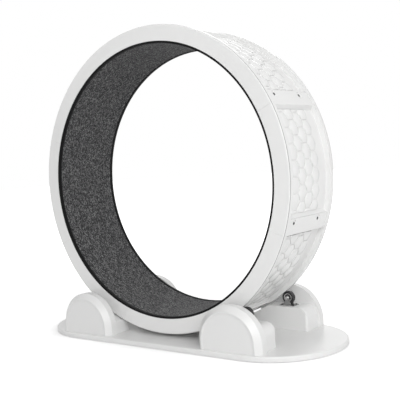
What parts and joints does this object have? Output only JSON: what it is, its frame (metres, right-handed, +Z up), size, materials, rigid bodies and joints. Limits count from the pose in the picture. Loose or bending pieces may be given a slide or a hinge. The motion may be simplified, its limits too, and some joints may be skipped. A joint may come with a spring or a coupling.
{
  "type": "pet running wheel",
  "caption": "Free-standing running wheel for a cat: a ring of moulded segments with a carpet track, turning on rollers in guard housings on an oval base.",
  "frame": {"origin": "on the floor under the middle of the oval base", "axes": "+Z up, +X along the length of the base, +Y along the wheel axle line towards the back; the front of the object faces -Y"},
  "size_m": [1.13, 0.44, 1.03],
  "materials": {
    "white_plastic": "satin gloss",
    "carpet": "heathered low pile",
    "binding": "matte",
    "rubber_feet": "matte",
    "roller_tyre": "matte",
    "bright_steel": "bright",
    "fork_steel": "zinc plated",
    "screw_steel": "black oxide"
  },
  "bodies": {
    "base": {"base_plate": "white_plastic", "foot_pads": "rubber_feet", "guard_screws": "screw_steel", "fork_screws": "screw_steel", "guard_front_left": "white_plastic", "guard_front_right": "white_plastic", "guard_back_left": "white_plastic", "guard_back_right": "white_plastic", "fork_front_left": "fork_steel", "fork_front_right": "fork_steel", "fork_back_left": "fork_steel", "fork_back_right": "fork_steel", "axle_front_left": "bright_steel", "axle_front_right": "bright_steel", "axle_back_left": "bright_steel", "axle_back_right": "bright_steel"},
    "wheel": {"rim_segment_1": "white_plastic", "rim_segment_2": "white_plastic", "rim_segment_3": "white_plastic", "rim_segment_4": "white_plastic", "rim_segment_5": "white_plastic", "rim_segment_6": "white_plastic", "rim_segment_7": "white_plastic", "rim_segment_8": "white_plastic", "track_carpet": "carpet", "edge_trim_front": "binding", "edge_trim_back": "binding", "joint_screws": "screw_steel"},
    "roller_front_left": {"tyre_front_left": "roller_tyre", "bearing_front_left": "bright_steel"},
    "roller_front_right": {"tyre_front_right": "roller_tyre", "bearing_front_right": "bright_steel"},
    "roller_back_left": {"tyre_back_left": "roller_tyre", "bearing_back_left": "bright_steel"},
    "roller_back_right": {"tyre_back_right": "roller_tyre", "bearing_back_right": "bright_steel"}
  },
  "joints": [
    {"name": "wheel_spin", "type": "hinge", "parent": "base", "child": "wheel", "pos_m": [0, 0, 0.53], "axis": [0, 1, 0], "continuous": true},
    {"name": "roller_spin_front_left", "type": "hinge", "parent": "base", "child": "roller_front_left", "pos_m": [-0.322, -0.129, 0.12004], "axis": [0, 1, 0], "continuous": true},
    {"name": "roller_spin_front_right", "type": "hinge", "parent": "base", "child": "roller_front_right", "pos_m": [0.322, -0.129, 0.12004], "axis": [0, 1, 0], "continuous": true},
    {"name": "roller_spin_back_left", "type": "hinge", "parent": "base", "child": "roller_back_left", "pos_m": [-0.322, 0.129, 0.12004], "axis": [0, 1, 0], "continuous": true},
    {"name": "roller_spin_back_right", "type": "hinge", "parent": "base", "child": "roller_back_right", "pos_m": [0.322, 0.129, 0.12004], "axis": [0, 1, 0], "continuous": true}
  ],
  "couplings": [
    {"joint": "roller_spin_front_left", "follows": "wheel_spin", "ratio": -23.809},
    {"joint": "roller_spin_front_right", "follows": "wheel_spin", "ratio": -23.809},
    {"joint": "roller_spin_back_left", "follows": "wheel_spin", "ratio": -23.809},
    {"joint": "roller_spin_back_right", "follows": "wheel_spin", "ratio": -23.809}
  ]
}
